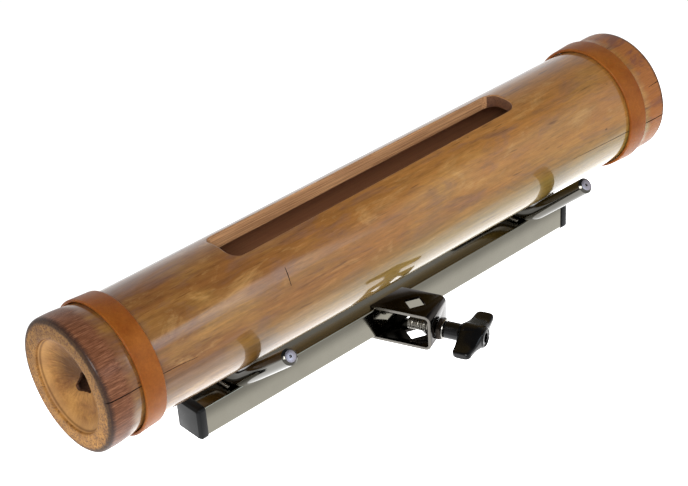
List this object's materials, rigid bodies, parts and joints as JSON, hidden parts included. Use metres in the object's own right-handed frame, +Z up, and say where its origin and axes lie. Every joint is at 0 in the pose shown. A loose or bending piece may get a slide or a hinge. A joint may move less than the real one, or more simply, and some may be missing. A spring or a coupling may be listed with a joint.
{
  "type": "bamboo cata",
  "caption": "Slotted bamboo log drum with rubber bands, lying in a V-shaped rod cradle on a square bar, with a wing-bolt clamp for a stand post.",
  "frame": {"origin": "the stand post's axis at the middle height of the clamp bracket", "axes": "+X along the bamboo towards its thicker end, -Y towards the player's front where the wing bolt points, +Z up"},
  "size_m": [0.4452, 0.1338, 0.1167],
  "materials": {
    "bamboo": "gloss lacquer over honey-brown cane",
    "amber_rubber": "satin amber rubber",
    "bar_plating": "smoked nickel plate, nearly mirror",
    "bracket_plating": "smoked nickel plate, nearly mirror",
    "rod_plating": "bright nickel plate",
    "weld_metal": "plated weld bead",
    "cap_plastic": "satin black plastic",
    "knob_plastic": "semi-gloss black plastic",
    "stud_plating": "bright zinc thread",
    "nut_finish": "black oxide",
    "washer_plating": "bright nickel plate"
  },
  "bodies": {
    "holder": {"bar": "bar_plating", "end_cap_left": "cap_plastic", "end_cap_right": "cap_plastic", "cradle_rod_left": "rod_plating", "cradle_rod_right": "rod_plating", "weld_left_outer": "weld_metal", "weld_left_inner": "weld_metal", "weld_right_outer": "weld_metal", "weld_right_inner": "weld_metal", "clamp_bracket": "bracket_plating", "clamp_nut": "nut_finish"},
    "cane": {"bamboo_tube": "bamboo"},
    "band_left": {"rubber_band_left": "amber_rubber"},
    "band_right": {"rubber_band_right": "amber_rubber"},
    "bolt_washer": {"washer": "washer_plating"},
    "wing_bolt": {"bolt_stud": "stud_plating", "wing_knob": "knob_plastic"}
  },
  "joints": [
    {"name": "tube_lift", "type": "slide", "parent": "holder", "child": "cane", "axis": [0, 0, 1], "range_m": [0, 0.08]},
    {"name": "band_left_slide", "type": "slide", "parent": "cane", "child": "band_left", "axis": [1, 0, 0], "range_m": [0, 0.045]},
    {"name": "band_right_slide", "type": "slide", "parent": "cane", "child": "band_right", "axis": [-1, 0, 0], "range_m": [0, 0.045]},
    {"name": "bolt_travel", "type": "slide", "parent": "holder", "child": "bolt_washer", "axis": [0.3827, -0.9239, 0], "range_m": [0, 0.0122]},
    {"name": "bolt_turn", "type": "hinge", "parent": "bolt_washer", "child": "wing_bolt", "pos_m": [0, 0, -0.0032], "axis": [0.3827, -0.9239, 0], "range_deg": [0, 3456]}
  ],
  "couplings": [
    {"joint": "bolt_travel", "follows": "bolt_turn", "m_per_rad": 0.00019894}
  ]
}
